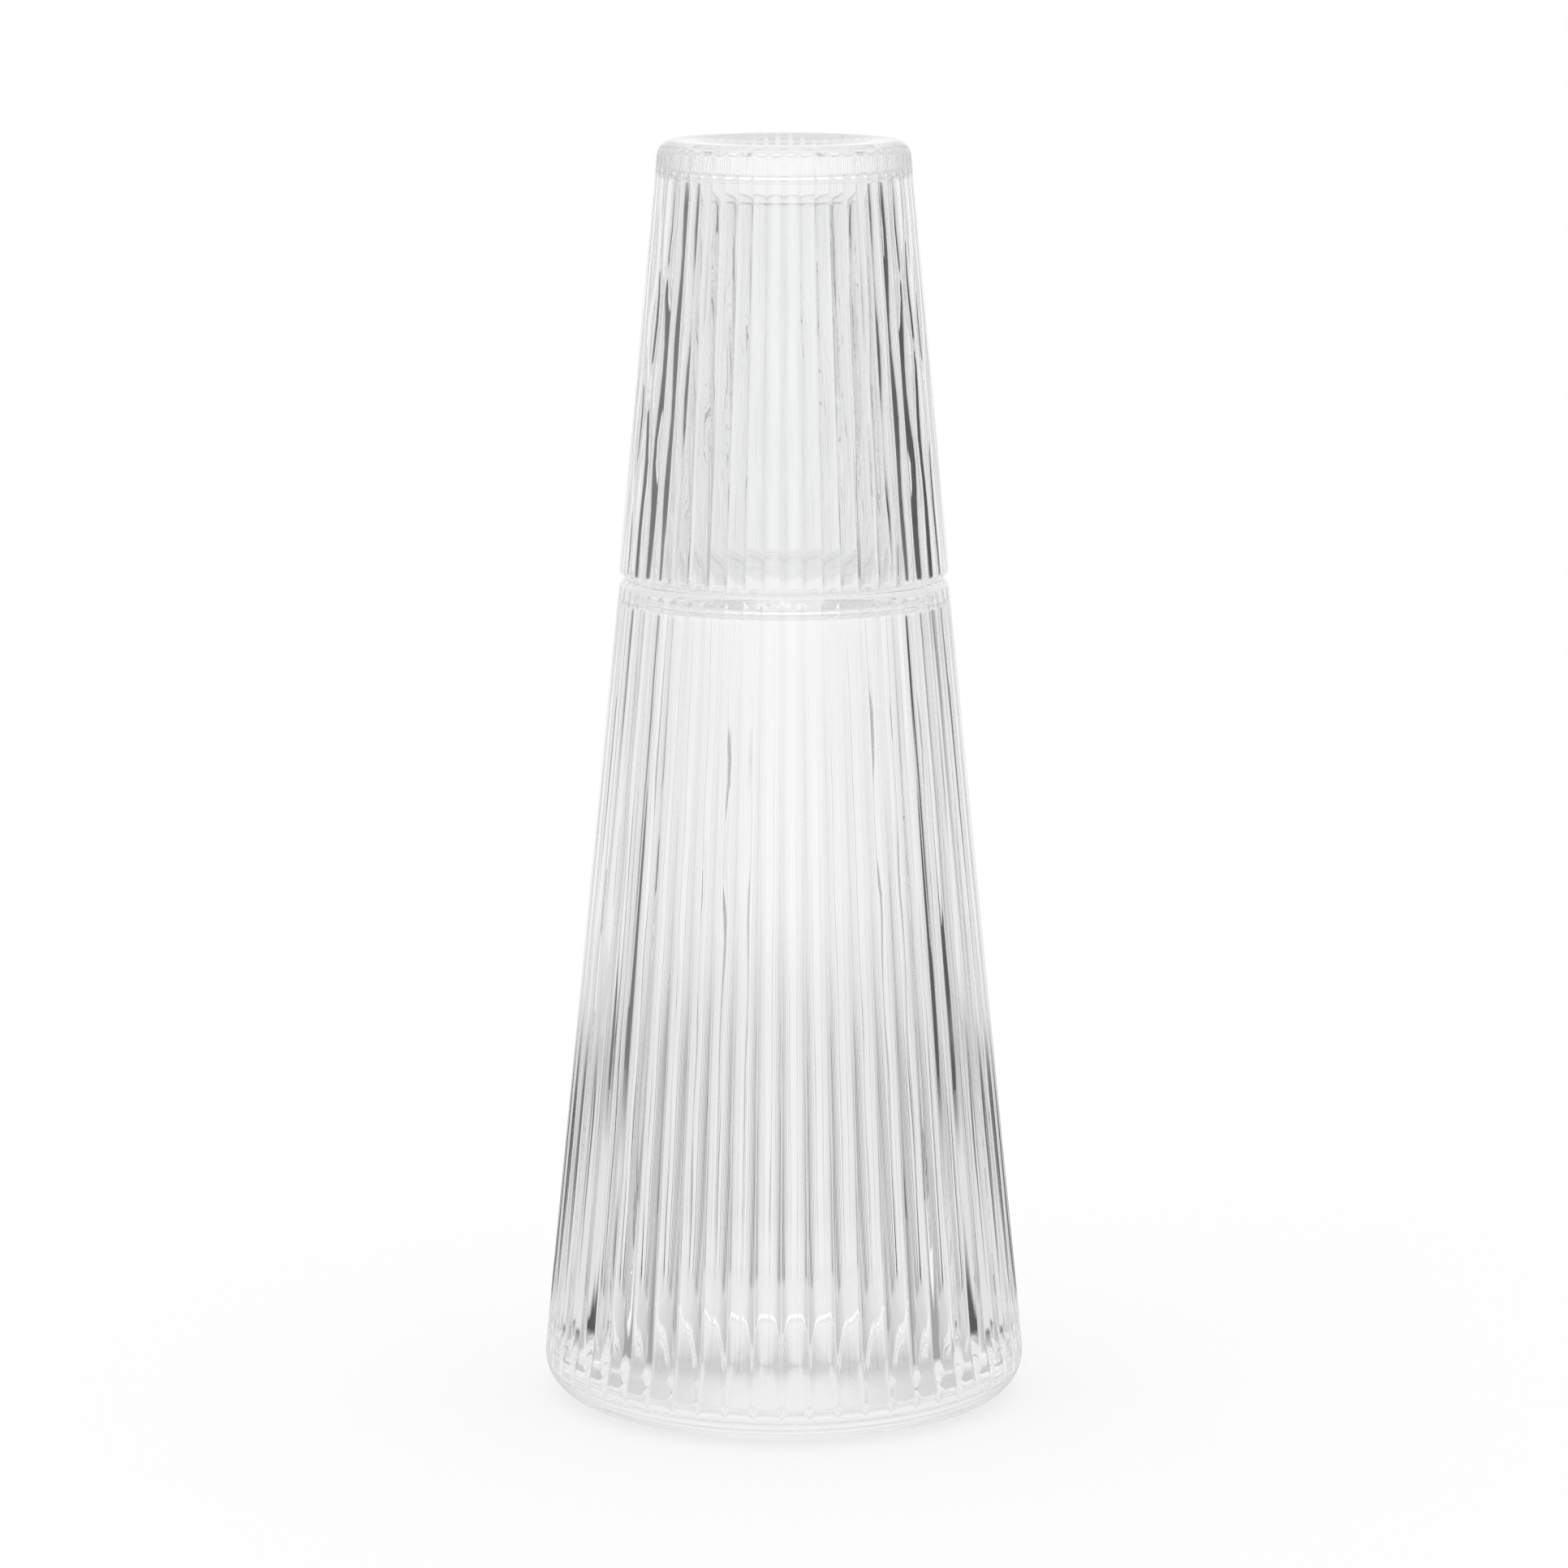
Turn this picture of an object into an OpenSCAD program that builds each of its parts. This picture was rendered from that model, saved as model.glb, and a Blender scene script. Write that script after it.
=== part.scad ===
// Bedside carafe with its tumbler: two pieces of clear ribbed glass.
// The carafe stands on the plane z = 0 with its axis on Z. The tumbler is upside down
// over the neck, with its rim on the shoulder. Millimetres, +Z up.

/* [Carafe] */
// Height of the shoulder above the table
shoulder_z = 183.8; // [140:0.2:220]
// Radius of the flank, over the rib crests, carried down to the table
foot_r = 54.7; // [46:0.1:64]
// Radius of the flank, over the rib crests, carried up to the shoulder
shoulder_r = 36.25; // [34:0.05:42]
// Rounding of the base corner
base_round = 8.5; // [5:0.1:10]
// Rounding of the shoulder corner
shoulder_round = 2.5; // [1.8:0.1:4.6]
// Wall of the body, measured level from the rib crests
body_wall = 3.6; // [3:0.1:4.4]
// Glass under the inside floor
floor_t = 6; // [4:0.1:8]
// Rounding inside, where the wall meets the floor
floor_round = 9; // [4:0.1:12]

/* [Neck] */
// Length of the neck above the shoulder
neck_len = 83.6; // [60:0.2:110]
// Wall of the neck, rounded off at the mouth
neck_wall = 2.4; // [2:0.1:3.4]
// Hollow rounding between the shoulder and the neck
neck_root_round = 1.8; // [1:0.1:2.6]

/* [Foot] */
// Inner radius of the flat ring that the carafe stands on
foot_ring_r = 39; // [30:0.5:43]
// Rise of the hollow under the base
punt_rise = 1.6; // [0.8:0.1:2.4]
// Width of the slope from the ring up into the hollow
punt_slope = 8; // [4:0.5:12]

/* [Tumbler] */
// Radius over the rib crests at the foot, which is on top while the tumbler is stored
tumbler_foot_r = 27.5; // [25:0.1:32]
// Wall of the tumbler, measured level from the rib crests
tumbler_wall = 3.3; // [2.8:0.1:3.8]
// Glass of the tumbler's base
tumbler_base_t = 6.4; // [5:0.1:8]
// Rounding of the foot's corner
tumbler_foot_round = 3.5; // [2.6:0.1:5]
// Rounding inside, where the wall meets the base
tumbler_floor_round = 2.2; // [1:0.1:4]
// Inner radius of the tumbler's foot ring
tumbler_ring_r = 20; // [15:0.5:21]
// Depth of the hollow inside the foot ring
dish_depth = 1.5; // [0.5:0.1:2.4]
// Width of the slope from the ring down into the hollow
dish_slope = 4.5; // [2:0.5:8]

/* [Ribs] */
// Number of ribs round each piece
rib_count = 54; // [32:2:72]
// Depth of the valleys between the carafe's ribs, carried down to the table
foot_rib_depth = 2.1; // [0.8:0.05:2.2]
// Depth of the valleys at the shoulder
shoulder_rib_depth = 1; // [0.5:0.05:1.3]
// Depth of the valleys between the tumbler's ribs, at its rim
tumbler_rib_depth = 1; // [0.5:0.05:1.3]
// Turn of the carafe's ribs about its axis, in degrees
carafe_turn = 2.7; // [-3.4:0.1:3.4]
// Turn of the tumbler's ribs, as it was put down on the carafe, in degrees
tumbler_turn = 3.3; // [-3.4:0.1:3.4]

/* [Fit] */
// Room between the tumbler's rim and the shoulder
seat_gap = 0.3; // [0.2:0.05:0.6]
// How far the tumbler's rim stands out past the shoulder
rim_over = 0.3; // [0:0.05:1]
// Room between the neck's root and the inside of the tumbler
neck_room = 5.5; // [4:0.1:7]
// Room all round the mouth of the neck, inside the tumbler
mouth_side_room = 8.5; // [5:0.1:10]
// Room between the mouth of the neck and the tumbler's inside floor
mouth_room = 6.2; // [3:0.1:12]

/* [Hidden] */
$fn = 96;
// Steps of each rounded corner, and of each rib
arc_steps = 8;
rib_steps = 6;
// Overrun of a cut past the glass that it shapes
overrun = 1;
// How far the crests stay inside the smooth outline, so that only the corners cut them
crest_relief = 0.02;

neck_z = shoulder_z + neck_len;
tumbler_floor_z = neck_z + mouth_room;
top_z = tumbler_floor_z + tumbler_base_t;
rim_z = shoulder_z + seat_gap;
rim_r = shoulder_r + rim_over;
// Change of radius for each unit of height
body_taper = (foot_r - shoulder_r) / shoulder_z;
tumbler_taper = (rim_r - tumbler_foot_r) / (top_z - rim_z);
// The carafe's glass over the shoulder is as thick as its wall
ceiling_z = shoulder_z - body_wall;
neck_lip = neck_wall / 2;
// Roundings of the mouth, and of the rim inside and outside, as shares of half the wall
lip_share = 0.96;
// Rounding under the shoulder, as a share of what the neck leaves of the glass there
ceiling_share = 1.1;
inner_rim_share = 0.7;
outer_rim_share = 1.2;
tumbler_lip = tumbler_wall / 2;

function unit(v) = v / norm(v);
function turned(v, a) = [v.x * cos(a) - v.y * sin(a), v.x * sin(a) + v.y * cos(a)];

// Corner b of the path a, b, c, rounded with radius r
function rounded(a, b, c, r) =
    r == 0 ? [b] :
    let (
        back = unit(a - b),
        on = unit(c - b),
        half = acos(back * on) / 2,
        centre = b + unit(back + on) * r / sin(half),
        from = b + back * r / tan(half) - centre,
        sweep = (180 - 2 * half) * sign(cross(from, b + on * r / tan(half) - centre))
    )
    [for (k = [0 : arc_steps]) centre + turned(from, sweep * k / arc_steps)];

function flat(p) = [p[0], p[1]];

// Closed outline through points [radius, height, rounding]
function outline(points) =
    let (n = len(points))
    [for (k = [0 : n - 1]) each rounded(
        flat(points[(k + n - 1) % n]), flat(points[k]), flat(points[(k + 1) % n]), points[k][2])];

// Radii of a wall at height z
function body_r(z) = foot_r - body_taper * z;
function tumbler_r(z) = rim_r - tumbler_taper * (z - rim_z);
// The neck narrows more than the tumbler round it does
function neck_r(z) =
    tumbler_r(z) - tumbler_wall - neck_room
    - (mouth_side_room - neck_room) * (z - shoulder_z) / neck_len;

// Depth of the carafe's valleys at height z, and of the tumbler's
function body_depth(z) = foot_rib_depth + (shoulder_rib_depth - foot_rib_depth) * z / shoulder_z;
function tumbler_depth(z) = tumbler_rib_depth * tumbler_r(z) / rim_r;

// How far a reed of the given depth has fallen from its crest, at a share of the way from
// there to the valley. Its section is an arc of a circle
function reed_fall(r, depth, way_share) =
    let (
        half = r * sin(180 / rib_count),
        arc_r = (half * half + depth * depth) / (2 * depth)
    )
    arc_r - sqrt(arc_r * arc_r - half * half * way_share * way_share);

// Points round a ribbed flank at a level [crest radius, height, depth]. Each rib is a convex
// reed, and its neighbours meet it in a sharp valley
function reeds(level) =
    let (steps = rib_count * rib_steps, crest_r = level[0] - crest_relief)
    [for (k = [0 : steps - 1])
        let (
            way_share = (k % rib_steps) * 2 / rib_steps - 1,
            r = crest_r - reed_fall(crest_r, level[2], way_share)
        )
        [r * cos(360 * k / steps), r * sin(360 * k / steps), level[1]]];

// Solid with ribbed flanks through the levels, from the lowest up
module reeded(levels) {
    round_count = rib_count * rib_steps;
    last = len(levels) - 1;
    polyhedron(
        points = [for (level = levels) each reeds(level)],
        faces = concat(
            [[for (k = [0 : round_count - 1]) k]],
            [[for (k = [round_count - 1 : -1 : 0]) last * round_count + k]],
            [for (n = [0 : last - 1], k = [0 : round_count - 1])
                let (
                    here = n * round_count + k,
                    next = n * round_count + (k + 1) % round_count
                )
                each [
                    [here, here + round_count, next + round_count],
                    [here, next + round_count, next]
                ]]
        )
    );
}

// All that lies outside the ribs through the levels, short of their two ends
module outside_ribs(levels, turn) {
    low_z = levels[0][1] + overrun / 2;
    high_z = levels[len(levels) - 1][1] - overrun / 2;
    difference() {
        translate([0, 0, low_z])
            cylinder(h = high_z - low_z, r = levels[0][0] + overrun);
        rotate(turn)
            reeded(levels);
    }
}

function body_levels() =
    [for (z = [-overrun, shoulder_z + overrun]) [body_r(z), z, body_depth(z)]];
function tumbler_levels() =
    [for (z = [rim_z - overrun, top_z + overrun]) [tumbler_r(z), z, tumbler_depth(z)]];

module carafe() {
    hollow_r = neck_root_round + neck_wall;
    ceiling_len = body_r(ceiling_z) - body_wall - neck_r(ceiling_z) + neck_wall;
    glass = outline([
        [0, punt_rise, 0],
        [foot_ring_r - punt_slope, punt_rise, punt_slope],
        [foot_ring_r, 0, 0],
        [foot_r, 0, base_round],
        [shoulder_r, shoulder_z, shoulder_round],
        [neck_r(shoulder_z), shoulder_z, neck_root_round],
        [neck_r(neck_z), neck_z, neck_lip * lip_share],
        [neck_r(neck_z) - neck_wall, neck_z, neck_lip * lip_share],
        [neck_r(ceiling_z) - neck_wall, ceiling_z, hollow_r],
        [body_r(ceiling_z) - body_wall, ceiling_z, (ceiling_len - hollow_r) * ceiling_share],
        [body_r(floor_t) - body_wall, floor_t, floor_round],
        [0, floor_t, 0],
    ]);
    color("lightcyan", 0.5)
        difference() {
            rotate_extrude() polygon(glass);
            outside_ribs(body_levels(), carafe_turn);
        }
}

module tumbler() {
    glass = outline([
        [0, tumbler_floor_z, 0],
        [tumbler_r(tumbler_floor_z) - tumbler_wall, tumbler_floor_z, tumbler_floor_round],
        [rim_r - tumbler_wall, rim_z, tumbler_lip * inner_rim_share],
        [rim_r, rim_z, tumbler_lip * outer_rim_share],
        [tumbler_foot_r, top_z, tumbler_foot_round],
        [tumbler_ring_r, top_z, 0],
        [tumbler_ring_r - dish_slope, top_z - dish_depth, dish_slope],
        [0, top_z - dish_depth, 0],
    ]);
    color("azure", 0.5)
        difference() {
            rotate_extrude() polygon(glass);
            outside_ribs(tumbler_levels(), tumbler_turn);
        }
}

carafe();
tumbler();
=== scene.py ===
import math

import bpy
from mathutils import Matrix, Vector


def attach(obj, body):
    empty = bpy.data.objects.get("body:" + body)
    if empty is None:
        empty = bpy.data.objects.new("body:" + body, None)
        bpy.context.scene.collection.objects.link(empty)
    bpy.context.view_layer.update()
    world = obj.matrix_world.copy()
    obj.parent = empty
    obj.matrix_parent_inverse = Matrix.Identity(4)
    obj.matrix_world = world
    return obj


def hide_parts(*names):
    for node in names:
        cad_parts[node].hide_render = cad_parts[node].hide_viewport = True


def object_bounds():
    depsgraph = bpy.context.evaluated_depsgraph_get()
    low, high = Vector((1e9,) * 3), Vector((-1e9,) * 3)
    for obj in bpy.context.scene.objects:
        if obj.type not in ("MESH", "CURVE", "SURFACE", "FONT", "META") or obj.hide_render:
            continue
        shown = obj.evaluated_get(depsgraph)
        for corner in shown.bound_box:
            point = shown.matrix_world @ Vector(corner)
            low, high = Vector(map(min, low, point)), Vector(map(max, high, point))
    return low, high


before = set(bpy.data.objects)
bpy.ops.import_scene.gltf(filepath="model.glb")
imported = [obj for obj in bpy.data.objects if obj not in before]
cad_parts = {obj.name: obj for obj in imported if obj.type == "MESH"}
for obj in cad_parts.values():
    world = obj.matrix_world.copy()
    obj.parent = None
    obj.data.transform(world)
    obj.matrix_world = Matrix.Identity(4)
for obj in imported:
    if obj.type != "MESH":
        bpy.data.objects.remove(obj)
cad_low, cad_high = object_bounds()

bl_info = {
    "name": "Ribbed Bedside Carafe",
    "version": (1, 0, 0),
    "blender": (4, 5, 0),
    "location": "3D Viewport > Sidebar > Carafe",
    "description": "A ribbed glass carafe with its tumbler upside down over the neck",
    "category": "Add Mesh",
}

# Overall height of the set, from the frame's own box
SET_HEIGHT = cad_high.z


def length(name, description, default, **limits):
    """A length in metres that the sidebar shows in the scene's unit."""
    return bpy.props.FloatProperty(
        name=name, description=description, default=default, unit="LENGTH", precision=4,
        **limits)


def share(name, description, default, most=1.0):
    """A share or a level, from 0 to the most that makes sense."""
    return bpy.props.FloatProperty(
        name=name, description=description, default=default, min=0, max=most,
        subtype="FACTOR")


def angle(name, description, default):
    """An angle, given in radians and shown in degrees."""
    return bpy.props.FloatProperty(
        name=name, description=description, default=default, subtype="ANGLE")


def rib_power(name, description, default):
    """How flat a rib is before it falls into the valley: 2 is a parabola."""
    return bpy.props.FloatProperty(
        name=name, description=description, default=default, min=2, max=10)


def rise(name, description, default):
    """The sine of an angle above the level, or below it where it is negative."""
    return bpy.props.FloatProperty(
        name=name, description=description, default=default, min=-1, max=1)


class CarafeSizes(bpy.types.PropertyGroup):
    """Sizes of the carafe."""
    shoulder_z: length("Shoulder height", "Height of the shoulder above the table", 0.1838)
    foot_r: length("Foot radius", "Flank's radius over the crests, carried down to the table",
                   0.05463)
    shoulder_r: length("Shoulder radius",
                       "Flank's radius over the crests, carried up to the shoulder", 0.03625)
    base_round: length("Base rounding", "Rounding of the corner that meets the table", 0.0085)
    shoulder_round: length("Shoulder rounding", "Rounding of the corner at the shoulder", 0.0025)
    ceiling_round: length("Ceiling rounding", "Rounding inside, under the shoulder", 0.0033)
    body_wall: length("Wall", "Thickness of the body's wall, from the rib crests", 0.0036)
    ceiling_t: length("Ceiling", "Glass between the shoulder and the inside", 0.0029)
    floor_t: length("Floor", "Glass under the inside floor", 0.006)
    floor_round: length("Floor rounding", "Rounding where the wall meets the floor", 0.009)
    ring_r: length("Foot ring", "Inner radius of the flat ring that it stands on", 0.039)
    punt_rise: length("Hollow's rise", "Rise of the hollow under the base", 0.0016)
    punt_slope: length("Hollow's slope", "Width of the slope into that hollow", 0.008)
    neck_root_r: length("Neck at its root", "Outside radius of the neck at the shoulder", 0.02775)
    neck_mouth_r: length("Neck at its mouth", "Outside radius of the neck at its mouth", 0.01689)
    neck_z: length("Mouth height", "Height of the neck's mouth above the table", 0.2674)
    neck_wall: length("Neck wall", "Thickness of the neck's wall", 0.0024)
    neck_root_round: length("Root rounding", "Hollow rounding between shoulder and neck", 0.0018)


class TumblerSizes(bpy.types.PropertyGroup):
    """Sizes of the tumbler, which is upside down."""
    rim_z: length("Rim height", "Height of the rim above the table while it is on the carafe",
                  0.1841)
    rim_r: length("Rim radius", "Radius over the crests, carried down to the rim", 0.03655)
    foot_r: length("Foot radius", "Radius over the crests, carried up to the foot", 0.0275)
    wall: length("Wall", "Thickness of the wall, from the rib crests", 0.0033)
    base_t: length("Base", "Glass of the base", 0.0064)
    foot_round: length("Foot rounding", "Rounding of the foot's corner", 0.0035)
    floor_round: length("Floor rounding", "Rounding where the wall meets the base", 0.0022)
    ring_r: length("Foot ring", "Inner radius of the foot ring", 0.02)
    dish_depth: length("Dish depth", "Depth of the hollow inside the foot ring", 0.0015)
    dish_slope: length("Dish slope", "Width of the slope into that hollow", 0.0045)


class RibSizes(bpy.types.PropertyGroup):
    """The ribs of both pieces, and how far their walls wander."""
    count: bpy.props.IntProperty(
        name="Ribs", description="Number of ribs round each piece", default=54, min=12, max=90)
    foot_depth: length("Depth at the foot", "Depth of the carafe's valleys at its foot", 0.0023)
    shoulder_depth: length("Depth at the shoulder", "Depth of the carafe's valleys there", 0.0003)
    tumbler_depth: length("Tumbler's depth", "Depth of the tumbler's valleys at its rim", 0.0006)
    carafe_turn: angle("Carafe's turn", "Turn of the carafe's ribs about its axis",
                       math.radians(2.68))
    tumbler_turn: angle("Tumbler's turn", "Turn of the tumbler's ribs about its axis",
                        math.radians(3.27))
    fullness: rib_power("Fullness", "How flat a rib is before it falls into the valley", 4.0)
    tumbler_fullness: rib_power("Fullness on the tumbler", "The same on the tumbler", 2.7)
    foot_fullness: rib_power("Fullness at the foot", "The same at the carafe's foot", 3.5)
    valley_round: length("Valley rounding", "Softness at the bottom of the valleys", 0.0001)
    foot_valley_round: length("Valley rounding at the foot", "The same at the carafe's foot",
                              0.0008)
    end_round: length("End rounding", "Softness where the ribs run out at a corner", 0.0004)
    foot_end_round: length("End rounding at the foot", "The same at the carafe's foot", 0.0012)
    end_z: length("Valley ends", "Height above the table at which the carafe's valleys end",
                  0.0065)
    run_out: length("Run-out", "Height over which the valleys rise to that end", 0.012)
    unevenness: share("Unevenness", "How much the depth of the valleys wanders", 0.12, 0.5)
    wander: length("Wall's wander", "How far the neck and the inside of the tumbler wander from "
                   "their true shape", 0.0003)
    body_wander: length("Body's wander", "The same inside the carafe's body", 0.00006)


class GlassLook(bpy.types.PropertyGroup):
    """Finish of the glass."""
    tint: bpy.props.FloatVectorProperty(
        name="Tint", description="Colour that one wall gives to light", subtype="COLOR",
        size=3, min=0, max=1, default=(0.99, 0.993, 0.992))
    tint_change: share("Tint change", "How much the tint differs from place to place", 0.02, 0.2)
    index: bpy.props.FloatProperty(
        name="Refractive index", description="Refractive index of soda-lime glass", default=1.5,
        min=1.3, max=1.8)
    polish: share("Roughness", "Roughness of the fire-polished surface", 0.004, 0.3)
    wave_height: length("Wave height", "Height of the slow waves that pressing leaves", 0.00001)


class StudioLook(bpy.types.PropertyGroup):
    """The table, the panels round it as the glass shows them, the lamps and the camera."""
    floor_r: length("Table radius", "Radius of the table that catches the shadow", 0.6)
    floor_gap: length("Gap under the foot", "Air between the table and the foot ring", 0.0003)
    floor_colour: bpy.props.FloatVectorProperty(
        name="Table", description="Colour of the table", subtype="COLOR", size=3, min=0, max=1,
        default=(0.95, 0.95, 0.95))
    floor_glow: share("Table's white", "Share of the table that stays white in the shadow", 0.75)
    # Radius of the painted level round the base; further out the table glows a painted reflection
    # of the panels
    near_r: length("Table round the base", "Radius within which the table mirrors few panels",
                   0.07)
    # Painted level: the table glows this pale round the base to the glass
    near: share("Level round the base", "Level of the table there, as the glass shows it", 0.89)
    # Painted reflection: the table glows darker beside the base, standing for the side panels
    painted_side_reflection: share("Level beside the base", "The same level to either side of the base", 0.55)
    # Share of the painted reflection of the panels that the table glows with round the base
    near_painted_reflection: share("Mirroring round the base", "How much the table there mirrors", 0.05)
    sky: bpy.props.FloatProperty(
        name="Sky", description="Strength of the light from all round", default=1.0, min=0, max=2)
    right_dark: share("Right panel", "Level of the dark panel to the right", 0.08)
    left_dark: share("Left panel", "Level of the dark panel to the left", 0.17)
    grey: share("Grey panels", "Level of the panels beside the camera", 0.4)
    # Painted reflection: the dark level that the table glows where it stands for the mirrored
    # panels
    table_dark: share("Panels on the table", "Level of the dark panels as the table mirrors them",
                      0.06)
    ceiling: share("Ceiling", "Level of the ceiling", 0.86)
    table_edge: rise("Table's edge", "Sine of the angle down to the table's far edge", -0.14)
    panel_low: rise("Panels' lower edge", "Sine of the angle down to the panels' lower edge",
                    -0.35)
    panel_high: rise("Panels' upper edge", "Sine of the angle up to the panels' upper edge", 0.0)
    lamp_power: bpy.props.FloatProperty(
        name="Lamps", description="Power of each soft lamp", default=1.0, min=0, max=50,
        unit="POWER")
    eye_distance: length("Camera distance", "Level distance from the axis to the camera", 1.3107)
    eye_height: length("Camera height", "Height of the camera above the table", 0.365)
    eye_tilt: angle("Camera tilt", "How far the camera looks down", 0.172)
    lens: bpy.props.FloatProperty(
        name="Lens", description="Focal length on a sensor 36 mm wide", default=137.46,
        unit="CAMERA")


# Columns across a rib, closer near its valleys: -1 and 1 are the valleys, 0 the crest
HALF_RIB = (0.0, 0.2, 0.39, 0.56, 0.71, 0.83, 0.91, 0.965)
ACROSS = [-1.0] + [-u for u in reversed(HALF_RIB[1:])] + list(HALF_RIB)
# Columns to each rib where the glass is smooth
INSIDE_PER_RIB = 4

# Rings round each ribbed corner, and along each stretch of the flanks
BASE_RINGS = 18
SHOULDER_RINGS = 16
RIM_RINGS = 18
FOOT_RINGS = 22
RUN_OUT_RINGS = 10
BODY_RINGS = 24
TUMBLER_RINGS = 16
# Rings round a smooth corner, and across a flat round the axis
CORNER_RINGS = 9
FLAT_RINGS = 4
# Height between the rings of a smooth wall
WALL_STEP = 0.005
# A wall's wander grows over one part in so many of a stretch, and settles over its last such part
EASE = 4
# Width of the strip beside a ribbed corner on which the columns of the ribs end
STRIP = 0.0006

# Roundings of the mouth, and of the rim inside and outside, as shares of half the wall
LIP_SHARE = 0.96
INNER_RIM_SHARE = 0.7
OUTER_RIM_SHARE = 1.2
# How the carafe's valleys get shallower as it rises: at first more, and then less
DEPTH_POWER = 0.5
# The run-out's own rings reach a little over its end
RUN_OUT_REACH = 1.05

# Slow waves round a wall: the height of each, how many there are in a turn, how much they lean
# as the wall rises, and how far a new seed shifts them
WAVES = (
    (0.35, 3, 70, 1.0),
    (0.25, 8, -110, 2.3),
    (0.2, 14, 190, 4.1),
    (0.2, 31, -160, 1.7),
)
CARAFE_FLANK_SEED = 1.0
CARAFE_INSIDE_SEED = 2.0
TUMBLER_FLANK_SEED = 3.0
TUMBLER_INSIDE_SEED = 5.0


def rounded(before, corner, after, radius, steps):
    """The points of a corner [r, z] rounded with a radius, from its start to its end."""
    if not radius:
        return [tuple(corner)]
    to_before = [before[k] - corner[k] for k in (0, 1)]
    to_after = [after[k] - corner[k] for k in (0, 1)]
    to_before = [v / math.hypot(*to_before) for v in to_before]
    to_after = [v / math.hypot(*to_after) for v in to_after]
    half = math.acos(sum(a * b for a, b in zip(to_before, to_after))) / 2
    middle = [a + b for a, b in zip(to_before, to_after)]
    reach = radius / math.sin(half) / math.hypot(*middle)
    centre = [corner[k] + middle[k] * reach for k in (0, 1)]
    start = [corner[k] + to_before[k] * radius / math.tan(half) - centre[k] for k in (0, 1)]
    end = [corner[k] + to_after[k] * radius / math.tan(half) - centre[k] for k in (0, 1)]
    turn = math.copysign(math.pi - 2 * half, start[0] * end[1] - start[1] * end[0])
    points = []
    for k in range(steps + 1):
        a = turn * k / steps
        points.append((centre[0] + start[0] * math.cos(a) - start[1] * math.sin(a),
                       centre[1] + start[0] * math.sin(a) + start[1] * math.cos(a)))
    return points


def path(corners):
    """Points along corners (r, z, rounding); the first and the last are only directions."""
    points = []
    for k in range(1, len(corners) - 1):
        r, z, radius = corners[k]
        points += rounded(corners[k - 1][:2], (r, z), corners[k + 1][:2], radius, CORNER_RINGS)
    return points


def between(low, high, count):
    """Points that divide the straight stretch from low to high, without its ends."""
    return [tuple(low[k] + (high[k] - low[k]) * n / count for k in (0, 1))
            for n in range(1, count)]


def soft_min(a, b, k):
    """The smaller of two numbers, with a fillet of size k where they cross."""
    if k <= 0:
        return min(a, b)
    h = min(1.0, max(0.0, 0.5 + 0.5 * (b - a) / k))
    return b + (a - b) * h - k * h * (1 - h)


def reed_fall(depth, across, power):
    """How far a reed has fallen from its crest at a place across it: gently at first, and
    steeply beside the valley."""
    return depth * across ** power


def ripple(turn, z, seed):
    """Slow waves round a wall and along it, from -1 to 1."""
    return sum(height * math.sin(count * turn + lean * z + shift * seed)
               for height, count, lean, shift in WAVES)


class Skin:
    """A closed skin built from rings about the axis, each with as many columns as it needs."""

    def __init__(self, ribs, turn):
        self.ribs = ribs
        self.turn = turn
        self.points = []
        self.faces = []
        # Indices of the last ring, or of a single point on the axis
        self.last = None

    def ring_angles(self, fine):
        step = 2 * math.pi / self.ribs
        if fine:
            return [self.turn + step * (rib + (u + 1) / 2)
                    for rib in range(self.ribs) for u in ACROSS]
        return [self.turn + step * n / INSIDE_PER_RIB
                for n in range(self.ribs * INSIDE_PER_RIB)]

    def axis(self, z):
        self.join([self.add(0.0, 0.0, z)])

    def ring(self, r, z, fine=False):
        """A ring of radius r, a number or a function of the angle and the place across a rib."""
        places = ACROSS * self.ribs if fine else [0.0] * (self.ribs * INSIDE_PER_RIB)
        new = []
        for turn, u in zip(self.ring_angles(fine), places):
            radius = r(turn, u) if callable(r) else r
            new.append(self.add(radius * math.cos(turn), radius * math.sin(turn), z))
        self.join(new)

    def add(self, x, y, z):
        self.points.append((x, y, z))
        return len(self.points) - 1

    def join(self, new):
        """Faces between the last ring and this one. The path runs so that they face outward."""
        old, self.last = self.last, new
        if old is None:
            return
        n, m = len(old), len(new)
        if n == 1:
            self.faces += [(old[0], new[(k + 1) % m], new[k]) for k in range(m)]
        elif m == 1:
            self.faces += [(old[k], old[(k + 1) % n], new[0]) for k in range(n)]
        elif n == m:
            self.faces += [(old[k], old[(k + 1) % n], new[(k + 1) % n], new[k])
                           for k in range(n)]
        elif n > m:
            self.fan(old, new, False)
        else:
            self.fan(new, old, True)

    def fan(self, many, few, flip):
        """Faces between a ring of many points and one of few, a fan to each of the few."""
        each = len(many) // len(few)
        middle = each // 2
        for k, hub in enumerate(few):
            following = few[(k + 1) % len(few)]
            run = [many[(k * each + j) % len(many)] for j in range(each + 1)]
            fans = [(run[j], run[j + 1], hub if j < middle else following)
                    for j in range(each)]
            for face in (*fans, (hub, run[middle], following)):
                self.faces.append(face[::-1] if flip else face)

    def make(self, name):
        mesh = bpy.data.meshes.new(name)
        mesh.from_pydata(self.points, [], self.faces)
        mesh.polygons.foreach_set("use_smooth", [True] * len(mesh.polygons))
        mesh.update()
        piece = bpy.data.objects.new(name, mesh)
        bpy.context.scene.collection.objects.link(piece)
        return piece


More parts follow.
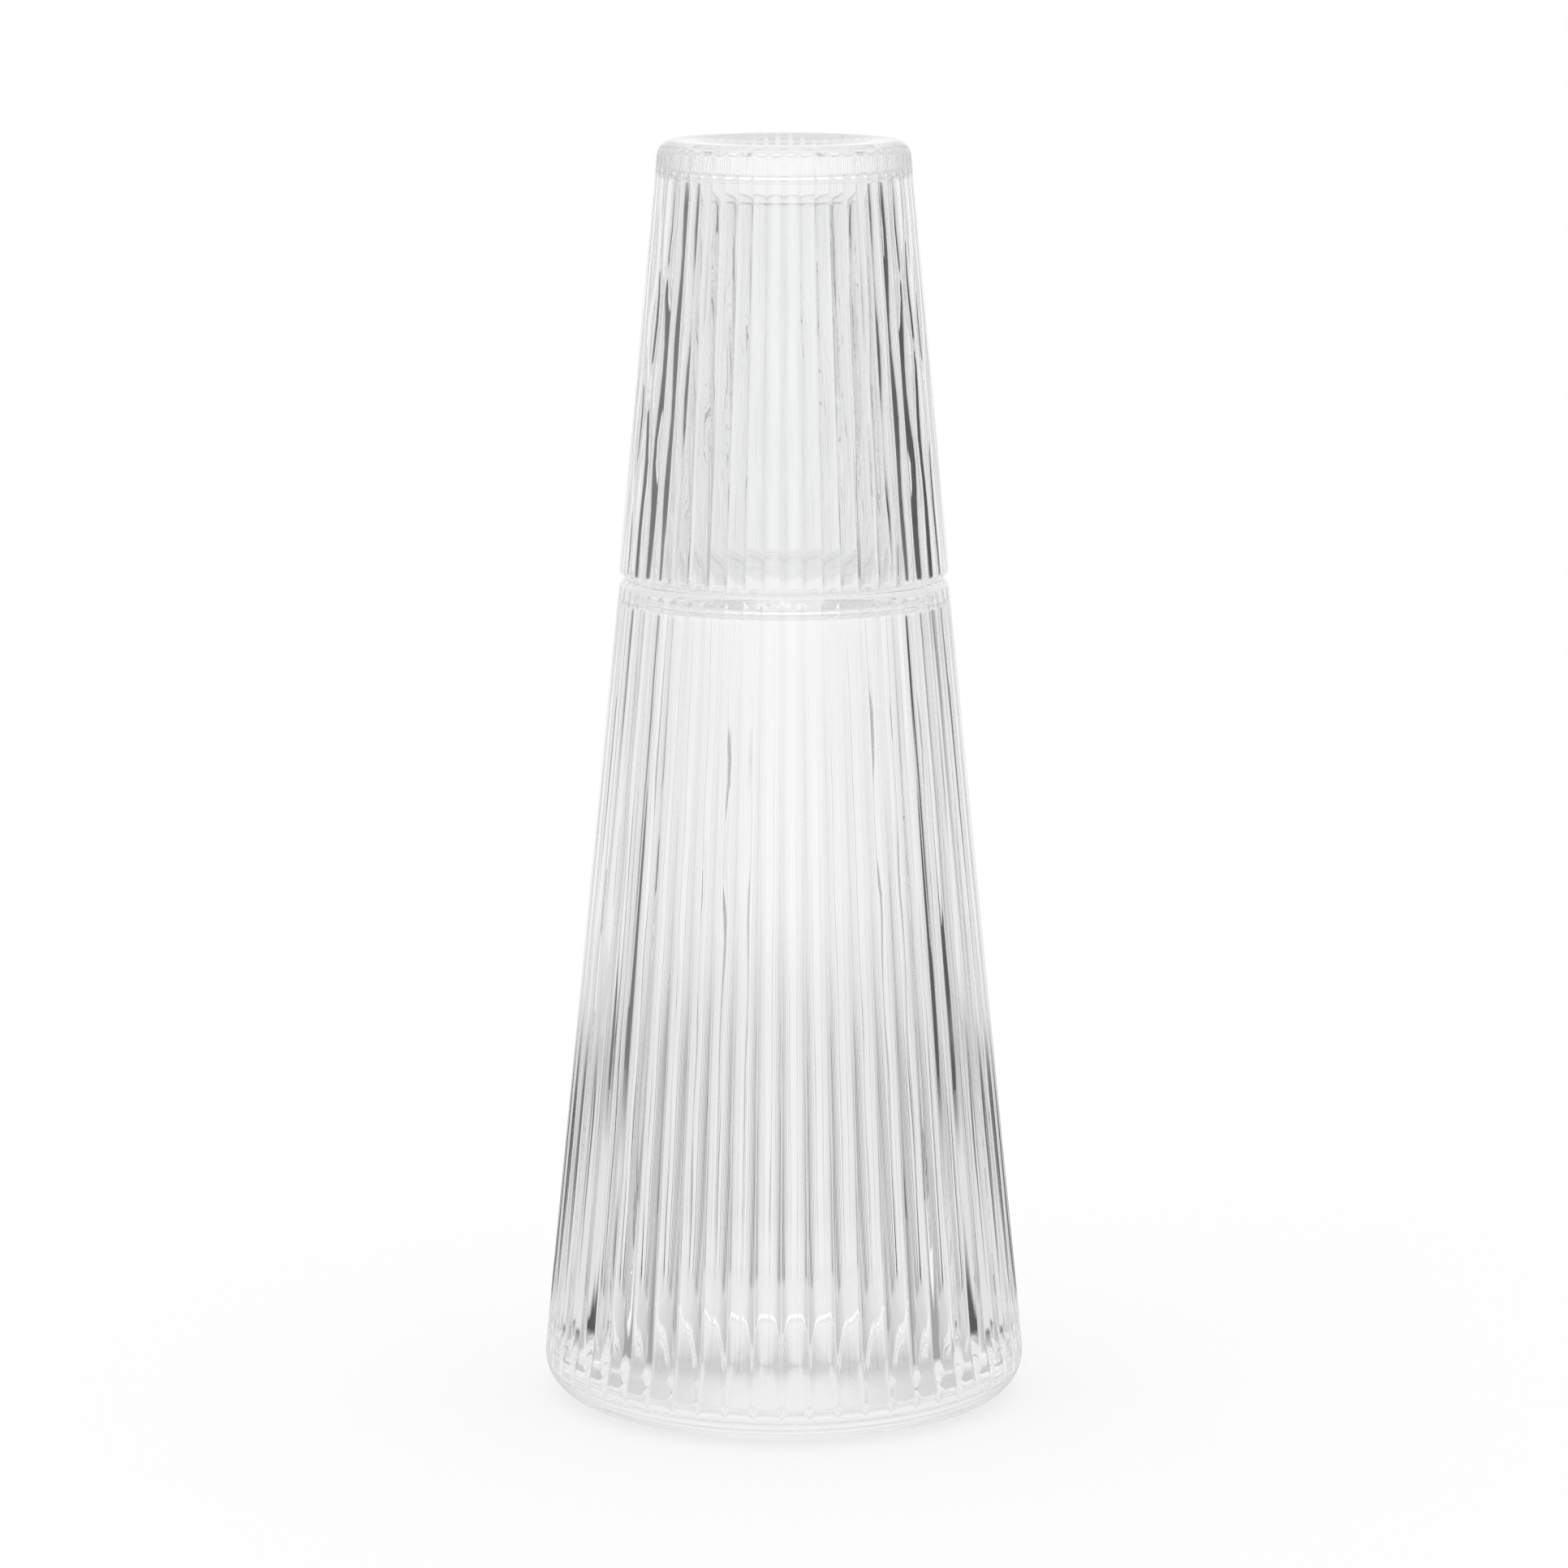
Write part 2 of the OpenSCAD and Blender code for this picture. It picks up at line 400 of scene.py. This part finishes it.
def flank(skin, envelope, wall_r, section_at, ribs, seed, flare=lambda z: 0.0):
    """Ribbed rings through the points of an envelope. wall_r is the flank's radius at a height,
    section_at the depth, the fullness and the roundings of the ribs there, and flare how far
    their section lifts out of the wall, which makes the valleys run out."""
    for limit, z in envelope:
        crest = wall_r(z) + flare(z)
        depth, power, softness, end_round = section_at(z)
        fillet = min(end_round, max(0.0, crest - limit))

        def radius(turn, u):
            here = depth * (1 + ribs.unevenness * ripple(turn, z, seed))
            fall = soft_min(reed_fall(here, abs(u), power), reed_fall(here, 2 - abs(u), power),
                            softness)
            return soft_min(limit, crest - fall, fillet)
        skin.ring(radius, z, fine=True)


def wandering(r, wander, seed, z):
    """The radius r of a smooth wall, as it wanders round the axis."""
    return lambda turn, u: r + wander * ripple(turn, z, seed)


def smooth_wall(skin, start, points, wander_at, seed):
    """Smooth rings through points, with more of them on the long stretches, which wander by
    wander_at(z) and settle towards both ends."""
    for point in points:
        stretch = math.dist(start, point)
        if stretch > 2 * WALL_STEP:
            count = round(stretch / WALL_STEP)
            for n, (r, z) in enumerate(between(start, point, count), 1):
                ease = min(1.0, EASE * min(n, count - n) / count)
                skin.ring(wandering(r, wander_at(z) * ease, seed, z), z)
        skin.ring(*point)
        start = point
    return start


def carafe_mesh(size, ribs):
    """The carafe, from the middle of its underside up the outside and down the inside."""
    taper = (size.foot_r - size.shoulder_r) / size.shoulder_z
    neck_taper = (size.neck_root_r - size.neck_mouth_r) / (size.neck_z - size.shoulder_z)
    ceiling_z = size.shoulder_z - size.ceiling_t

    def body_r(z):
        return size.foot_r - taper * z

    def neck_r(z):
        return size.neck_root_r - neck_taper * (z - size.shoulder_z)

    def section_at(z):
        up = min(1.0, max(0.0, z / size.shoulder_z))
        return (ribs.foot_depth + (ribs.shoulder_depth - ribs.foot_depth) * up ** DEPTH_POWER,
                ribs.foot_fullness + (ribs.fullness - ribs.foot_fullness) * up,
                ribs.foot_valley_round + (ribs.valley_round - ribs.foot_valley_round) * up,
                ribs.foot_end_round + (ribs.end_round - ribs.foot_end_round) * up)

    def flare(z):
        return section_at(z)[0] * max(0.0, 1 - (z - ribs.end_z) / ribs.run_out) ** 2

    def wander_at(z):
        return ribs.wander if z > size.shoulder_z else ribs.body_wander

    skin = Skin(ribs.count, ribs.carafe_turn)
    skin.axis(size.punt_rise)
    under = path([
        (0, size.punt_rise, 0),
        (size.ring_r - size.punt_slope, size.punt_rise, size.punt_slope),
        (size.ring_r, 0, 0),
        (size.foot_r, 0, 0),
    ])
    for r, z in between((0, size.punt_rise), under[0], FLAT_RINGS) + under:
        skin.ring(r, z)

    low = rounded((0, 0), (size.foot_r, 0), (size.shoulder_r, size.shoulder_z),
                  size.base_round, BASE_RINGS)
    high = rounded((size.foot_r, 0), (size.shoulder_r, size.shoulder_z), (0, size.shoulder_z),
                   size.shoulder_round, SHOULDER_RINGS)
    run_top = ribs.end_z + ribs.run_out * RUN_OUT_REACH
    above = (body_r(run_top), run_top)
    skin.ring(*low[0], fine=True)
    flank(skin,
          low[1:] + between(low[-1], above, RUN_OUT_RINGS)
          + [above] + between(above, high[0], BODY_RINGS) + high[:-1],
          body_r, section_at, ribs, CARAFE_FLANK_SEED, flare)
    skin.ring(*high[-1], fine=True)

    lip = size.neck_wall / 2 * LIP_SHARE
    rest = path([
        (size.shoulder_r, size.shoulder_z, 0),
        (neck_r(size.shoulder_z), size.shoulder_z, size.neck_root_round),
        (neck_r(size.neck_z), size.neck_z, lip),
        (neck_r(size.neck_z) - size.neck_wall, size.neck_z, lip),
        (neck_r(ceiling_z) - size.neck_wall, ceiling_z, size.neck_root_round + size.neck_wall),
        (body_r(ceiling_z) - size.body_wall, ceiling_z, size.ceiling_round),
        (body_r(size.floor_t) - size.body_wall, size.floor_t, size.floor_round),
        (0, size.floor_t, 0),
    ])
    skin.ring(high[-1][0] - STRIP, high[-1][1])
    end = smooth_wall(skin, high[-1], rest, wander_at, CARAFE_INSIDE_SEED)
    for r, z in between(end, (0, size.floor_t), FLAT_RINGS):
        skin.ring(r, z)
    skin.axis(size.floor_t)
    return skin


def tumbler_mesh(size, ribs):
    """The tumbler, from the middle of its inside down to the rim and up to its foot."""
    top_z = SET_HEIGHT
    floor_z = top_z - size.base_t
    dish_z = top_z - size.dish_depth
    taper = (size.rim_r - size.foot_r) / (top_z - size.rim_z)

    def wall_r(z):
        return size.rim_r - taper * (z - size.rim_z)

    def section_at(z):
        return (ribs.tumbler_depth * wall_r(z) / size.rim_r, ribs.tumbler_fullness,
                ribs.valley_round, ribs.end_round)

    skin = Skin(ribs.count, ribs.tumbler_turn)
    skin.axis(floor_z)
    inner = path([
        (0, floor_z, 0),
        (wall_r(floor_z) - size.wall, floor_z, size.floor_round),
        (size.rim_r - size.wall, size.rim_z, size.wall / 2 * INNER_RIM_SHARE),
        (size.rim_r, size.rim_z, 0),
    ])
    for r, z in between((0, floor_z), inner[0], FLAT_RINGS):
        skin.ring(r, z)
    skin.ring(*inner[0])
    smooth_wall(skin, inner[0], inner[1:], lambda z: ribs.wander, TUMBLER_INSIDE_SEED)

    low = rounded((0, size.rim_z), (size.rim_r, size.rim_z), (size.foot_r, top_z),
                  size.wall / 2 * OUTER_RIM_SHARE, RIM_RINGS)
    high = rounded((size.rim_r, size.rim_z), (size.foot_r, top_z), (0, top_z),
                   size.foot_round, FOOT_RINGS)
    skin.ring(*low[0], fine=True)
    flank(skin, low[1:] + between(low[-1], high[0], TUMBLER_RINGS) + high[:-1], wall_r,
          section_at, ribs, TUMBLER_FLANK_SEED)
    skin.ring(*high[-1], fine=True)

    dish = path([
        (size.foot_r, top_z, 0),
        (size.ring_r, top_z, 0),
        (size.ring_r - size.dish_slope, dish_z, size.dish_slope),
        (0, dish_z, 0),
    ])
    skin.ring(high[-1][0] - STRIP, top_z)
    for r, z in dish + between(dish[-1], (0, dish_z), FLAT_RINGS):
        skin.ring(r, z)
    skin.axis(dish_z)
    return skin


class Socket:
    """A shader socket, or a number, that takes part in a Python expression."""

    def __init__(self, tree, value):
        self.tree = tree
        self.value = value

    def math(self, operation, *others):
        return self.tree.node("ShaderNodeMath", {"operation": operation},
                              dict(enumerate((self, *others))))[0]

    def __add__(self, other):
        return self.math("ADD", other)

    def __radd__(self, other):
        return self.tree.wrap(other).math("ADD", self)

    def __sub__(self, other):
        return self.math("SUBTRACT", other)

    def __rsub__(self, other):
        return self.tree.wrap(other).math("SUBTRACT", self)

    def __mul__(self, other):
        return self.math("MULTIPLY", other)

    def __rmul__(self, other):
        return self.tree.wrap(other).math("MULTIPLY", self)

    def __truediv__(self, other):
        return self.math("DIVIDE", other)

    def __rtruediv__(self, other):
        return self.tree.wrap(other).math("DIVIDE", self)


class Outputs:
    """A node's outputs, by name or number, each wrapped for expressions."""

    def __init__(self, tree, node):
        self.tree = tree
        self.node = node

    def __getitem__(self, key):
        return Socket(self.tree, self.node.outputs[key])


class Tree:
    """The node tree of a material or a world."""

    def __init__(self, owner):
        owner.use_nodes = True
        self.nodes = owner.node_tree.nodes
        self.links = owner.node_tree.links
        self.nodes.clear()

    def wrap(self, value):
        return value if isinstance(value, Socket) else Socket(self, value)

    def node(self, kind, settings=None, inputs=None):
        """Adds a node: its settings, then its sockets by name or number. Returns its outputs."""
        made = self.nodes.new(kind)
        for key, value in (settings or {}).items():
            if key == "ramp":
                elements = made.color_ramp.elements
                while len(elements) > 1:
                    elements.remove(elements[-1])
                for n, (place, colour) in enumerate(value):
                    stop = elements[0] if n == 0 else elements.new(place)
                    stop.position = place
                    stop.color = colour
            else:
                setattr(made, key, value)
        for key, value in (inputs or {}).items():
            if isinstance(value, Socket):
                value = value.value
            if isinstance(value, bpy.types.NodeSocket):
                self.links.new(value, made.inputs[key])
            else:
                made.inputs[key].default_value = value
        return Outputs(self, made)

    def mix(self, factor, a, b):
        """A blend of two colours. Sockets 6, 7 and 2 are those that the Mix node has for them."""
        return self.node("ShaderNodeMix", {"data_type": "RGBA"}, {0: factor, 6: a, 7: b})[2]

    def step(self, value, low, high):
        """A soft step from 0 at low to 1 at high."""
        return self.node("ShaderNodeMapRange", {"interpolation_type": "SMOOTHSTEP"},
                         {"Value": value, "From Min": low, "From Max": high})[0]


def opaque(colour):
    return (*colour, 1.0)


def pale(level):
    """A grey of the given level."""
    return opaque((level,) * 3)


# How many of the mould's waves and of the tint's clouds come to a metre, and how much the waves
# are drawn out along the axis
MOULD_WAVES = 110.0
TINT_CLOUDS = 18.0
DRAWN_OUT = (1.0, 1.0, 0.25)
# Where the two pieces' waves lie in the noise, and how far from them their clouds do
CARAFE_GLASS_SEED = 1.0
TUMBLER_GLASS_SEED = 7.0
CLOUD_SHIFT = 3.0


def clear_glass(name, look, seed):
    """Clear pressed glass: a faint tint, slow waves left by the mould, and a soft polish."""
    material = bpy.data.materials.new(name)
    tree = Tree(material)
    place = tree.node("ShaderNodeTexCoord")["Object"]
    along = tree.node("ShaderNodeVectorMath", {"operation": "MULTIPLY"},
                      {0: place, 1: DRAWN_OUT})[0]
    slow = tree.node("ShaderNodeTexNoise", {"noise_dimensions": "4D"},
                     {"Vector": along, "W": seed, "Scale": MOULD_WAVES, "Detail": 1.0})["Fac"]
    cloud = tree.node("ShaderNodeTexNoise", {"noise_dimensions": "4D"},
                      {"Vector": place, "W": seed + CLOUD_SHIFT, "Scale": TINT_CLOUDS,
                       "Detail": 2.0})["Fac"]
    deeper = [c * (1 - look.tint_change) for c in look.tint]
    tint = tree.mix(cloud, opaque(look.tint), opaque(deeper))
    roughness = look.polish + (cloud - 0.5) * look.polish
    normal = tree.node("ShaderNodeBump", None,
                       {"Strength": 1.0, "Distance": look.wave_height, "Height": slow})[0]
    glass = tree.node("ShaderNodeBsdfPrincipled", None, {
        "Base Color": tint, "Roughness": roughness, "IOR": look.index,
        "Transmission Weight": 1.0, "Normal": normal})[0]
    tree.node("ShaderNodeOutputMaterial", None, {"Surface": glass})
    return material


def place_piece(piece, body, node, material):
    piece.data.materials.append(material)
    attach(piece, body)
    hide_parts(node)


class CARAFE_OT_carafe(bpy.types.Operator):
    """Blow the ribbed carafe"""
    bl_idname = "carafe.carafe"
    bl_label = "Carafe"

    def execute(self, context):
        scene = context.scene
        piece = carafe_mesh(scene.carafe_sizes, scene.carafe_ribs).make("carafe_glass")
        place_piece(piece, "carafe", "carafe",
                    clear_glass("carafe_glass", scene.carafe_look, CARAFE_GLASS_SEED))
        return {"FINISHED"}


class CARAFE_OT_tumbler(bpy.types.Operator):
    """Press the ribbed tumbler"""
    bl_idname = "carafe.tumbler"
    bl_label = "Tumbler"

    def execute(self, context):
        scene = context.scene
        piece = tumbler_mesh(scene.carafe_tumbler, scene.carafe_ribs).make("tumbler_glass")
        place_piece(piece, "tumbler", "tumbler",
                    clear_glass("tumbler_glass", scene.carafe_look, TUMBLER_GLASS_SEED))
        return {"FINISHED"}


# Each soft lamp's place and width
LAMPS = {
    "lamp_top": ((0.0, 0.25, 1.3), 0.9),
    "lamp_left": ((-1.0, -0.9, 0.9), 0.7),
}
# How many surfaces light may pass: thick glass guides it round many times
BOUNCES = 200
# Width of the camera's sensor in millimetres, as cameras give it
SENSOR_WIDTH = 36.0


class CARAFE_OT_studio(bpy.types.Operator):
    """Set out the table, the walls, the lamps and the camera"""
    bl_idname = "carafe.studio"
    bl_label = "Studio"

    def execute(self, context):
        scene = context.scene
        look = scene.carafe_studio
        add_floor(look)
        add_world(scene, look)
        for name, (place, width) in LAMPS.items():
            add_lamp(scene, name, place, width, look.lamp_power)
        add_camera(scene, look)
        scene.view_settings.view_transform = "Standard"
        scene.cycles.max_bounces = BOUNCES
        scene.cycles.transmission_bounces = BOUNCES
        scene.cycles.glossy_bounces = BOUNCES
        return {"FINISHED"}


def both_sides(*right):
    """Levels at the angles to the right, and the same to the left."""
    return tuple((-turn, level) for turn, level in reversed(right)) + right


# How pale the studio is to the glass, by the angle round from straight behind the set, in
# degrees, positive to the right. A level is a number, or the name of one of the studio's
# settings. First the walls, then the far part of the table, then the rest of it: the table's
# lists are a painted reflection of the panels, which the table glows with for the glass
WALLS = (
    (-165, 0.9), (-152, "grey"), (-112, "grey"), (-105, "left_dark"), (-95, "left_dark"),
    (-92.5, 1.0), (-87.5, 1.0), (-85, "left_dark"), (-55, "left_dark"), (-50, 0.9), (-14, 1.0),
    (14, 1.0), (47, 0.9), (53, "right_dark"), (85, "right_dark"), (87.5, 1.0), (92.5, 1.0),
    (95, "right_dark"), (105, "right_dark"), (112, "grey"), (152, "grey"), (165, 0.9),
)
FAR_TABLE_PAINTED_REFLECTION = both_sides(
    (14, 1.0), (35, 0.8), (60, 0.45), (68, "table_dark"), (84, "table_dark"), (87, 1.0),
    (97, 1.0), (100, 0.35), (116, 0.35), (120, "grey"), (150, "grey"), (158, 1.0),
)
TABLE_PAINTED_REFLECTION = both_sides(
    (14, 0.92), (29, 0.85), (33, "table_dark"), (42, "table_dark"), (46, 0.8), (66, 0.8),
    (70, "table_dark"), (84, "table_dark"), (87, 0.95), (97, 0.95), (100, 0.35), (116, 0.35),
    (120, "grey"), (150, "grey"), (158, 0.8),
)
# Where the far part of the table begins, as a share of its radius
FAR_SHARE = 0.65
# How far out the table round the base turns into the rest, as a multiple of its radius
NEAR_REACH = 1.5
# Corners of the table's outline
TABLE_CORNERS = 128
# Widths, as sines, over which the panels fade at their lower and upper edges, and half the
# width over which the table's far edge does
LOW_FADE = 0.15
HIGH_FADE = 0.3
EDGE_FADE = 0.012


def round_shade(tree, look, part, levels):
    """The shade at the angle round at which a vector points, from its separate parts."""
    turn = part["X"].math("ARCTAN2", part["Y"]) / (2 * math.pi) + 0.5
    stops = [((degrees + 180) / 360,
              pale(getattr(look, level) if isinstance(level, str) else level))
             for degrees, level in levels]
    return tree.node("ShaderNodeValToRGB", {"ramp": stops}, {0: turn})[0]


def add_floor(look):
    """A round white table. The camera sees it white, with the shadow of the glass. To the glass
    it glows instead, with a painted level near the base and further out a painted reflection of
    the panels."""
    turns = [2 * math.pi * k / TABLE_CORNERS for k in range(TABLE_CORNERS)]
    mesh = bpy.data.meshes.new("floor")
    mesh.from_pydata([(look.floor_r * math.cos(turn), look.floor_r * math.sin(turn),
                       -look.floor_gap) for turn in turns], [], [tuple(range(TABLE_CORNERS))])
    floor = bpy.data.objects.new("floor", mesh)
    bpy.context.scene.collection.objects.link(floor)
    material = bpy.data.materials.new("floor")
    tree = Tree(material)
    seen = tree.node("ShaderNodeLightPath")
    in_glass = seen["Is Glossy Ray"] + seen["Is Transmission Ray"]
    place = tree.node("ShaderNodeTexCoord")["Object"]
    from_axis = tree.node("ShaderNodeVectorMath", {"operation": "LENGTH"}, {0: place})["Value"]
    # Share of the painted reflection of the panels against the painted level round the base
    painted_reflection_share = look.near_painted_reflection + (1 - look.near_painted_reflection) * tree.step(
        from_axis, look.near_r, look.near_r * NEAR_REACH)
    part = tree.node("ShaderNodeSeparateXYZ", None, {0: place})
    # Painted reflection of the panels: levels that the table glows with, near and far
    panels = tree.mix(
        tree.step(from_axis, look.floor_r * FAR_SHARE, look.floor_r),
        round_shade(tree, look, part, TABLE_PAINTED_REFLECTION), round_shade(tree, look, part, FAR_TABLE_PAINTED_REFLECTION))
    across = part["X"] / from_axis
    # Painted level round the base, darker to either side as a painted reflection of the side
    # panels
    near = tree.mix(across * across, pale(look.near), pale(look.painted_side_reflection))
    matt = tree.node("ShaderNodeBsdfDiffuse", None, {"Color": opaque(look.floor_colour)})[0]
    white = tree.node("ShaderNodeEmission", None, {"Color": pale(1.0), "Strength": 1.0})[0]
    # Painted light: the table glows these painted levels to the glass, though it is no lamp
    shown = tree.node("ShaderNodeEmission", None,
                      {"Color": tree.mix(painted_reflection_share, near, panels), "Strength": 1.0})[0]
    plain = tree.node("ShaderNodeMixShader", None,
                      {0: seen["Is Camera Ray"] * look.floor_glow, 1: matt, 2: white})[0]
    surface = tree.node("ShaderNodeMixShader", None, {0: in_glass, 1: plain, 2: shown})[0]
    tree.node("ShaderNodeOutputMaterial", None, {"Surface": surface})
    floor.data.materials.append(material)


def add_world(scene, look):
    """White walls all round. The glass also shows dark panels to the sides, which draw its
    lines."""
    world = bpy.data.worlds.new("studio")
    scene.world = world
    tree = Tree(world)
    part = tree.node("ShaderNodeSeparateXYZ", None,
                     {0: tree.node("ShaderNodeTexCoord")["Generated"]})
    height = part["Z"]
    over_floor = tree.step(height, look.panel_low - LOW_FADE, look.panel_low)
    over_panels = tree.step(height, look.panel_high, look.panel_high + HIGH_FADE)
    over_table = tree.step(height, look.table_edge - EDGE_FADE, look.table_edge + EDGE_FADE)
    panels = tree.mix(over_table, round_shade(tree, look, part, FAR_TABLE_PAINTED_REFLECTION),
                      round_shade(tree, look, part, WALLS))
    walls = tree.mix(over_panels, tree.mix(over_floor, pale(look.near), panels),
                     pale(look.ceiling))
    seen = tree.node("ShaderNodeLightPath")
    plain = seen["Is Camera Ray"].math("MAXIMUM", seen["Is Diffuse Ray"])
    surface = tree.node("ShaderNodeBackground", None, {
        "Color": tree.mix(plain, walls, pale(1.0)), "Strength": look.sky})[0]
    tree.node("ShaderNodeOutputWorld", None, {"Surface": surface})


def add_lamp(scene, name, place, width, power):
    """A soft square lamp that faces the middle of the set."""
    data = bpy.data.lights.new(name, "AREA")
    data.size = width
    data.energy = power
    lamp = bpy.data.objects.new(name, data)
    lamp.location = place
    to_set = Vector((0.0, 0.0, SET_HEIGHT / 2)) - Vector(place)
    lamp.rotation_euler = to_set.to_track_quat("-Z", "Y").to_euler()
    lamp.visible_camera = False
    scene.collection.objects.link(lamp)


def add_camera(scene, look):
    """A camera at the photograph's angle, which sees everything in focus."""
    data = bpy.data.cameras.new("camera")
    data.lens = look.lens
    data.sensor_width = SENSOR_WIDTH
    data.clip_start = 0.01
    data.clip_end = 20.0
    camera = bpy.data.objects.new("camera", data)
    camera.location = (0.0, -look.eye_distance, look.eye_height)
    camera.rotation_euler = (math.pi / 2 - look.eye_tilt, 0.0, 0.0)
    scene.collection.objects.link(camera)
    scene.camera = camera


class CARAFE_PT_set(bpy.types.Panel):
    """Lists the pieces of the set"""
    bl_idname = "CARAFE_PT_set"
    bl_label = "Ribbed Carafe"
    bl_space_type = "VIEW_3D"
    bl_region_type = "UI"
    bl_category = "Carafe"

    def draw(self, context):
        for operator in OPERATORS:
            self.layout.operator(operator.bl_idname)
        for holder in GROUPS:
            group = getattr(context.scene, holder)
            box = self.layout.box()
            box.label(text=group.bl_rna.description)
            for name in group.__annotations__:
                box.prop(group, name)


OPERATORS = (CARAFE_OT_carafe, CARAFE_OT_tumbler, CARAFE_OT_studio)
GROUPS = {
    "carafe_sizes": CarafeSizes,
    "carafe_tumbler": TumblerSizes,
    "carafe_ribs": RibSizes,
    "carafe_look": GlassLook,
    "carafe_studio": StudioLook,
}


def register():
    for one in (*GROUPS.values(), *OPERATORS, CARAFE_PT_set):
        bpy.utils.register_class(one)
    for holder, group in GROUPS.items():
        setattr(bpy.types.Scene, holder, bpy.props.PointerProperty(type=group))


def unregister():
    for holder in GROUPS:
        delattr(bpy.types.Scene, holder)
    for one in (CARAFE_PT_set, *reversed(OPERATORS), *reversed(tuple(GROUPS.values()))):
        bpy.utils.unregister_class(one)


def main():
    register()
    bpy.ops.carafe.studio()
    bpy.ops.carafe.carafe()
    bpy.ops.carafe.tumbler()


if __name__ == "__main__":
    main()
